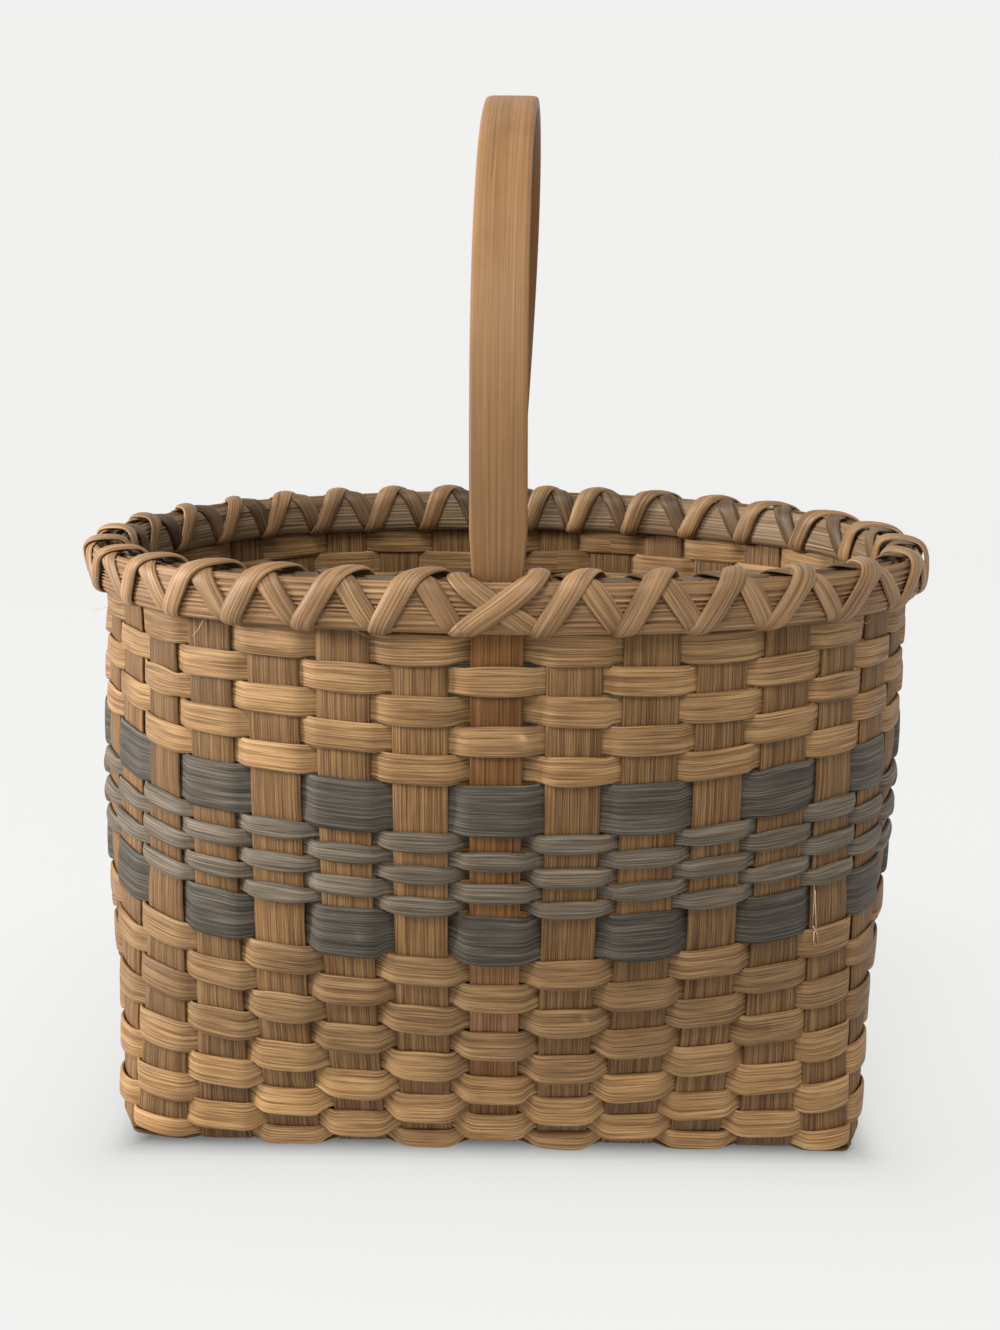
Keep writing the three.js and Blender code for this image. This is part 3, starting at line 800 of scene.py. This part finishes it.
def makeRim(name, side, ridgeHeight, tone, finish):
    look = rimLook
    count = uprightCount * look["steps"]
    u = look["seam"] + np.arange(count) / look["steps"]
    v, crown, spacing = rimProfile()
    hidden = len(v) - len(crown)
    points, _, _, out = wallFrame(u, np.full(count, wallArc))
    rise = ringNoise(count, *look["rise"])
    swell = 1 + ringNoise(count, *look["swell"])
    marks = np.stack([
        np.clip(look["markMiddle"] + ringNoise(count, *look["mark"]), *look["markLimits"])
        for _ in range(look["ridges"] + 1)
    ])
    turn = spacing[None, :] + ringNoise(count, *look["drift"])[:, None]
    ridgeAt = np.clip(np.floor(turn / 2).astype(int), 0, look["ridges"])
    depth = marks[ridgeAt, np.arange(count)[:, None]]
    fade = 1 - np.abs(np.linspace(-1, 1, len(crown))) ** look["ridgeEnds"]
    ridge = np.cos(math.pi * turn) * depth * fade[None, :]
    outer = crown[None, :] + ridgeHeight * ridge
    h = np.concatenate([outer, np.full((count, hidden), look["inner"])], axis=1)
    grid = points[:, None, :] + out[:, None, :] * side * h[..., None]
    grid[..., 2] = points[:, None, 2] + v[None, :] * swell[:, None] + rise[:, None]
    # painted shade in the grooves between the ridges and painted light on their tops
    faceToneAndShade = tone + look["ridgePaintedShade"] * ridge * ridgeHeight / look["outerRidges"]
    shade = np.concatenate([faceToneAndShade, np.full((count, hidden), look["hiddenTone"])], axis=1)
    shade = shade + ringNoise(count, *look["toneNoise"])[:, None]
    return makePiece(name, grid, True, finishes[finish], shade)


outerRim = makeRim("outerRim", 1.0, rimLook["outerRidges"], rimLook["outerTone"], "rim")
settle(outerRim, "rim", "outer_rim")
innerRim = makeRim("innerRim", -1.0, rimLook["innerRidges"], rimLook["innerTone"], "innerRim")
settle(innerRim, "rim", "inner_rim")
print("rims bent")

# lashing

lashingLook = {
    "width": 7.5, "corners": 14, "crown": 0.95, "legSteps": 12, "endSteps": 10, "smoothing": 3,
    "turns": [  # places round the rim; the big crosses at the handle are two of them
        5, 6.05, 7.05, 8, 9, 10.3, 11.9, 13.4, 14.9, 16.4, 17.8, 18.95, 20.1, 21.2, 22.2, 23, 24,
        25, 26.1, 27.1, 28.2, 29.35, 30.7, 32, 33.35, 34.7, 36, 37, 38, 39, 40,
    ],
    "outerTop": 0.43, "innerTop": 0.72, "topWander": 0.03,  # where a turn passes over the rims
    "crossingSlack": 0.5, "faceFrom": 0.99,
    "widthNoise": (90, 0.04), "toneNoise": (60, 0.13),
}
firstPass = {
    # inside the rims the first pass is painted far darker, a painted shade
    "direction": -1, "thick": 0.9, "tone": 0.48, "innerTone": -0.04,
    "onFace": 0.5, "overTop": 0.9, "below": 0.6,  # slack
}
secondPass = {
    "direction": 1, "thick": 1.1, "tone": 0.54, "innerTone": 0.48,
    "onFace": 1.1, "overTop": 2.3, "below": 1.5,
}


def smoothLoop(values, spread):
    reach = 3 * spread
    kernel = np.exp(-0.5 * (np.arange(-reach, reach + 1) / spread) ** 2)
    kernel /= kernel.sum()
    padded = np.concatenate([values[-reach:], values, values[:reach]])
    smoothed = [np.convolve(column, kernel, mode="valid") for column in padded.T]
    return np.stack(smoothed, axis=1)


def lashingPath(direction):
    look = lashingLook
    turns = np.array(look["turns"][::direction])
    ahead = np.append(turns[1:], turns[0] + direction * uprightCount)
    ends = (turns + ahead) / 2
    starts = np.append(ends[-1] - direction * uprightCount, ends[:-1])
    rows = []
    for turn, start, end in zip(turns, starts, ends):
        crossing = turn in (frontMiddle, backMiddle)
        outerTop = innerTop = end
        if not crossing:
            outerTop = start + (end - start) * look["outerTop"] + rng.normal(0, look["topWander"])
            innerTop = start + (end - start) * look["innerTop"] + rng.normal(0, look["topWander"])
        legs = [  # place round the rim, outside or inside, top or bottom; steps; which way the strip faces
            ((start, 1, -1), (outerTop, 1, 1), look["legSteps"], (1, 0)),
            ((outerTop, 1, 1), (innerTop, -1, 1), look["endSteps"], (0, 1)),
            ((innerTop, -1, 1), (end, -1, -1), look["legSteps"], (-1, 0)),
            ((end, -1, -1), (end, 1, -1), look["endSteps"], (0, -1)),
        ]
        for a, b, steps, normal in legs:
            for t in np.arange(steps) / steps:
                place = [p + (q - p) * t for p, q in zip(a, b)]
                rows.append(place + list(normal) + [1.0 if crossing else 0.0])
    return np.array(rows)


def makeLashing(name, run):
    look = lashingLook
    around, outward, upward, normalOut, normalUp, crossing = lashingPath(run["direction"]).T
    middle = (1 - upward ** 2) * (np.abs(outward) > look["faceFrom"])  # on the rims' faces
    ends = np.where(upward > 0, run["overTop"], run["below"])
    slack = ends + (run["onFace"] - ends) * middle * (1 - look["crossingSlack"] * crossing)
    reachOut = (rimLook["face"] + slack) * outward
    reachUp = (rimHalf + slack) * upward
    even = np.linspace(0, uprightCount * run["direction"], len(around), endpoint=False)
    loop = np.stack([around - even, reachOut, reachUp, normalOut, normalUp], axis=1)
    smooth = smoothLoop(loop, look["smoothing"])
    points, _, _, out = wallFrame(smooth[:, 0] + even, np.full(len(even), wallArc))
    place = points + out * smooth[:, 1:2]
    place[:, 2] = points[:, 2] + smooth[:, 2]
    normal = unit(out * smooth[:, 3:4] + plumb * smooth[:, 4:5])
    tangent = unit(np.roll(place, -1, axis=0) - np.roll(place, 1, axis=0))
    side = unit(np.cross(normal, tangent))
    normal = unit(np.cross(tangent, side))
    v, h = flatStrip(run["thick"], look["crown"], look["corners"])
    widths = look["width"] * (1 + ringNoise(len(even), *look["widthNoise"]))
    grid = (place[:, None, :] + side[:, None, :] * (v[None, :] * widths[:, None])[..., None]
            + normal[:, None, :] * h[None, :, None])
    # inside the rims the lashing takes its inner tone: painted shade, deepest on the first pass
    tone = np.where(smooth[:, 1] < 0, run["innerTone"], run["tone"])
    tone = tone + ringNoise(len(even), *look["toneNoise"])
    return makePiece(name, grid, True, finishes["lashing"], tone)


settle(makeLashing("lashingFirstPass", firstPass), "lashing", "lashing_first_pass")
settle(makeLashing("lashingSecondPass", secondPass), "lashing", "lashing_second_pass")
print("rims lashed")

# loose fibres and a torn edge

fibreLook = {
    "steps": 9, "corners": 6, "tip": 0.45,
    "radius": {"weaver1": 0.17, "crossStake11": 0.306},
    "tone": {"weaver1": 1.2, "crossStake11": 2.2},
    "fibres": {  # piece: lists of places round the wall, up the wall and out from it
        "weaver1": [
            [(-2.3, 189.0, 1.5), (-2.5, 188.0, 4.0), (-2.75, 186.0, 7.5)],
            [(0.98, 197.5, 1.6), (0.92, 194.0, 2.6), (0.82, 191.0, 3.2)],
            [(2.95, 198.4, 1.4), (3.2, 197.8, 2.6), (3.42, 195.2, 2.2)],
            [(10.1, 197.0, 1.8), (10.45, 194.6, 3.0), (10.8, 196.4, 2.4)],
        ],
        "crossStake11": [
            [(9.64, 104.0, 0.9), (9.65, 96.0, 1.1), (9.64, 88.0, 1.0)],
            [(9.66, 99.0, 1.0), (9.68, 91.0, 1.2), (9.66, 83.0, 2.4)],
            [(9.6, 86.0, 2.2), (9.66, 83.0, 2.8), (9.7, 79.0, 2.6)],
            [(9.62, 84.0, 2.4), (9.6, 81.0, 2.9), (9.65, 78.0, 2.4)],
        ],
    },
}


def addFibre(piece, knots, radius, tone):
    look = fibreLook
    knots = np.array(knots)
    t = np.linspace(0, len(knots) - 1, look["steps"])
    u, arc, lift = [np.interp(t, range(len(knots)), column) for column in knots.T]
    points, _, _, out = wallFrame(u, arc)
    line = points + out * lift[:, None]
    run = unit(np.gradient(line, axis=0))
    side = unit(np.cross(run, out))
    raised = np.cross(side, run)
    turn = np.linspace(0, 2 * math.pi, look["corners"], endpoint=False)
    thin = radius * np.linspace(1, look["tip"], len(t))[:, None, None]
    grid = line[:, None, :] + thin * (np.cos(turn)[None, :, None] * side[:, None, :]
                                      + np.sin(turn)[None, :, None] * raised[:, None, :])
    fibre = makePiece("fibre", grid, False, piece.data.materials[0], tone)
    both = [piece, fibre]
    with bpy.context.temp_override(active_object=piece, object=piece, selected_editable_objects=both):
        bpy.ops.object.join()


for name, fibres in fibreLook["fibres"].items():
    for knots in fibres:
        addFibre(bpy.data.objects[name], knots, fibreLook["radius"][name], fibreLook["tone"][name])
print("loose fibres added")

# handle

handleLook = {
    "width": 18.0, "thick": 5.0, "rise": 156.0, "square": 2.1, "steps": 120,
    "corners": 28, "cornerSquare": 7.0,
    "tailWidth": 15.0, "tailThick": 2.0, "tailBack": 0.9, "tailSteps": 40,
    "taper": 14.0, "taperSteps": 8, "taperLow": 8.0,  # the tail thickens into the hoop
    "lean": 3.0, "backLean": 2.2, "leanFrom": 0.2, "leanOver": 0.6,  # shares of the length
    "outward": 40.0,  # how far below the top the hoop's middle counts as inside
    # the handle is painted darker towards the rims and lighter towards the top: painted shade low down,
    # painted light up top
    "paintedLightHeights": [200, 235, 290, 330, 372], "paintedLightTones": [0.38, 0.43, 0.6, 0.66, 0.68],
}


def handlePath():
    look = handleLook
    rimTop = float(heightAt(wallArc)) + rimHalf
    tailOut = -look["tailBack"] - look["tailThick"] / 2
    tailLow = rowLow[rowCount - tailRoom["rows"]]
    tailArcs = np.linspace(tailLow, wallArc + rimHalf, look["tailSteps"])
    reach = halfWidth + wall["swingWidth"] * swingAt(tailArcs) + tailOut
    tail = np.stack([reach, heightAt(tailArcs)], axis=1)
    span = reach[-1] - (look["thick"] - look["tailThick"]) / 2
    foot = rimTop + look["taper"]
    rise = look["rise"] - look["taper"] - look["thick"] / 2
    turn = np.linspace(0, math.pi, look["steps"])
    y, z = squareRound(turn, look["square"])
    hoop = np.stack([span * y, foot + rise * z], axis=1)
    taperZ = np.linspace(rimTop, foot, look["taperSteps"])[1:-1]
    taperY = np.interp(taperZ, [rimTop, foot], [reach[-1], span])
    taper = np.stack([taperY, taperZ], axis=1)
    mirrored = np.array([-1, 1])
    line = np.concatenate([tail, taper, hoop, taper[::-1] * mirrored, tail[::-1] * mirrored])
    grow = np.interp(line[:, 1], [rimTop - look["taperLow"], foot], [0, 1])
    return line[::-1], grow[::-1]  # from the front to the back


def makeHandle():
    look = handleLook
    line, grow = handlePath()
    run = runLength(line)
    keep = np.append(True, np.diff(run) > 1e-6)  # no point twice
    line, grow, run = line[keep], grow[keep], run[keep]
    hoopShare = np.clip((run / run[-1] - look["leanFrom"]) / look["leanOver"], 0, 1)
    lean = look["lean"] * np.sin(math.pi * hoopShare) - look["backLean"] * np.sin(2 * math.pi * hoopShare)
    tangent = unit(np.gradient(line, axis=0))
    outYZ = np.stack([-tangent[:, 1], tangent[:, 0]], axis=1)
    facesOut = outYZ[:, 0] * line[:, 0] + outYZ[:, 1] * look["outward"] > 0
    outYZ = np.where(facesOut[:, None], outYZ, -outYZ)
    widths = look["tailWidth"] + (look["width"] - look["tailWidth"]) * grow
    thick = look["tailThick"] + (look["thick"] - look["tailThick"]) * grow
    turn = np.linspace(0, 2 * math.pi, look["corners"], endpoint=False) + math.pi / look["corners"]
    v, h = [half / 2 for half in squareRound(turn, look["cornerSquare"])]
    grid = np.zeros((len(line), len(v), 3))
    grid[:, :, 0] = lean[:, None] + v[None, :] * widths[:, None]
    grid[:, :, 1] = line[:, :1] + outYZ[:, :1] * h[None, :] * thick[:, None]
    grid[:, :, 2] = line[:, 1:] + outYZ[:, 1:] * h[None, :] * thick[:, None]
    # painted shade low on the handle and painted light towards its top
    tone = np.interp(line[:, 1], look["paintedLightHeights"], look["paintedLightTones"])
    return makePiece("handle", grid, False, finishes["handle"], tone)


settle(makeHandle(), "handle", "handle")
print("handle bent")

# floor, lights and camera, in metres

floorLook = {
    "fine": 0.45, "fineStep": 0.006, "flat": 1.0, "drop": 0.0002,
    "half": 4.0, "farther": 1.5, "riseSteps": 12,  # rises far away at the front and the sides
    "back": 1.4, "bend": 0.9, "bendSteps": 24, "height": 4.0,
    "color": (0.045, 0.045, 0.044), "roughness": 0.9, "glow": (1.0, 1.0, 0.988), "glowPower": 0.825,
    "footprint": (0.129, 0.081),  # the floor's glow is painted darker under and around the basket, a painted shadow
    "shadeAt": [-0.012, -0.002, 0.006, 0.014, 0.03, 0.07, 0.12],
    "shade": [0.0, 0.25, 0.74, 0.87, 0.93, 0.97, 1.0],
}


def floorPoints(look):
    near = np.arange(-look["fine"], look["fine"] + look["fineStep"] / 2, look["fineStep"])
    far = np.linspace(look["half"], look["farther"] * look["half"], look["riseSteps"])
    far = np.concatenate([[look["flat"]], far])
    farRise = np.concatenate([[0.0], look["height"] * np.linspace(0, 1, look["riseSteps"]) ** 2])
    x = np.concatenate([-far[::-1], near, far])
    riseX = np.concatenate([farRise[::-1], np.zeros(len(near)), farRise])
    turn = np.linspace(0, math.pi / 2, look["bendSteps"])
    bendY = look["back"] + look["bend"] * np.sin(turn)
    bendZ = look["bend"] * (1 - np.cos(turn))
    y = np.concatenate([-far[::-1], near, [look["flat"]], bendY, [bendY[-1]]])
    riseY = np.concatenate([farRise[::-1], np.zeros(len(near) + 1), bendZ, [look["height"]]])
    points = np.zeros((len(y), len(x), 3))
    points[..., 0] = x[None, :]
    points[..., 1] = y[:, None]
    points[..., 2] = np.maximum(riseX[None, :], riseY[:, None]) - look["drop"]
    return points


def floorShade(look, points):
    outX = np.abs(points[..., 0]) - look["footprint"][0]
    outY = np.abs(points[..., 1]) - look["footprint"][1]
    away = np.hypot(np.maximum(outX, 0), np.maximum(outY, 0)) + np.minimum(np.maximum(outX, outY), 0)
    return np.interp(away, look["shadeAt"], look["shade"])


def makeFloor():
    look = floorLook
    points = floorPoints(look)
    deep, across = points.shape[:2]
    faces = []
    for i in range(deep - 1):
        for j in range(across - 1):
            a = i * across + j
            faces.append((a, a + 1, a + across + 1, a + across))
    mesh = bpy.data.meshes.new("floor")
    mesh.from_pydata(points.reshape(-1, 3).tolist(), [], faces)
    mesh.polygons.foreach_set("use_smooth", [True] * len(faces))
    colors = np.ones((deep, across, 4))
    # the glow is dimmed near the basket: a painted contact shadow
    colors[..., :3] = floorShade(look, points)[..., None] * np.array(look["glow"])
    layer = mesh.color_attributes.new("glow", "FLOAT_COLOR", "POINT")
    layer.data.foreach_set("color", colors.ravel())
    paint = bpy.data.materials.new("paleFloor")
    paint.use_nodes = True
    shader = paint.node_tree.nodes["Principled BSDF"]
    glow = addNode(paint.node_tree, "ShaderNodeAttribute", attribute_name="glow")
    paint.node_tree.links.new(glow.outputs["Color"], shader.inputs["Emission Color"])
    setSockets(shader, {
        "Base Color": (*look["color"], 1), "Roughness": look["roughness"], "Specular IOR Level": 0.0,
        "Emission Strength": look["glowPower"],
    })
    mesh.materials.append(paint)
    floor = putInScene("floor", mesh)


makeFloor()

lightLook = {
    "sky": 0.6,
    "aim": (0.0, 0.0, 0.12),
    "key": {"place": (-1.92, -0.28, 0.66), "size": 0.6, "power": 60.0, "color": (1.0, 0.97, 0.93)},
    "top": {"place": (-0.3, -1.1, 1.55), "size": 0.7, "power": 24.0, "color": (1.0, 0.99, 0.97)},
}


def facing(back, upHint, place):
    back = unit(np.asarray(back, float))
    right = unit(np.cross(upHint, back))
    up = np.cross(back, right)
    matrix = Matrix.Identity(4)
    for column, axis in enumerate((right, up, back, place)):
        for row in range(3):
            matrix[row][column] = axis[row]
    return matrix


def makeLight(name, look):
    light = bpy.data.lights.new(name, "AREA")
    light.energy = look["power"]
    light.size = look["size"]
    light.color = look["color"]
    away = np.array(look["place"]) - np.array(lightLook["aim"])
    putInScene(name, light).matrix_world = facing(away, plumb, look["place"])


for name in ("key", "top"):
    makeLight(name, lightLook[name])
world = bpy.data.worlds.new("studio")
world.use_nodes = True
sky = {"Color": (1.0, 1.0, 1.0, 1), "Strength": lightLook["sky"]}
setSockets(world.node_tree.nodes["Background"], sky)
bpy.context.scene.world = world

cameraLook = {
    "focal": 1610.2, "frameWidth": 1000.0, "sensor": 36.0,  # focal length in pixels of the frame
    "target": (-0.36, 0.0, 160.62), "distance": 627.07,  # millimetres
    "azimuth": 0.01056, "elevation": 0.21469, "roll": 0.00925,
    "nearest": 0.01,
}


def makeCamera():
    look = cameraLook
    azimuth, elevation, roll = look["azimuth"], look["elevation"], look["roll"]
    flat = math.cos(elevation)
    back = np.array([math.sin(azimuth) * flat, -math.cos(azimuth) * flat, math.sin(elevation)])
    place = (np.array(look["target"]) + look["distance"] * back) * mm
    right = unit(np.cross(-back, plumb))
    up = np.cross(back, right)
    rolledUp = -right * math.sin(roll) + up * math.cos(roll)
    lens = bpy.data.cameras.new("camera")
    lens.sensor_fit = "HORIZONTAL"
    lens.sensor_width = look["sensor"]
    lens.lens = look["sensor"] * look["focal"] / look["frameWidth"]
    lens.clip_start = look["nearest"]
    camera = putInScene("camera", lens)
    camera.matrix_world = facing(back, rolledUp, place)
    bpy.context.scene.camera = camera


makeCamera()
bpy.context.scene.view_settings.view_transform = "Standard"
bpy.context.scene.view_settings.look = "None"
print("lit and framed")
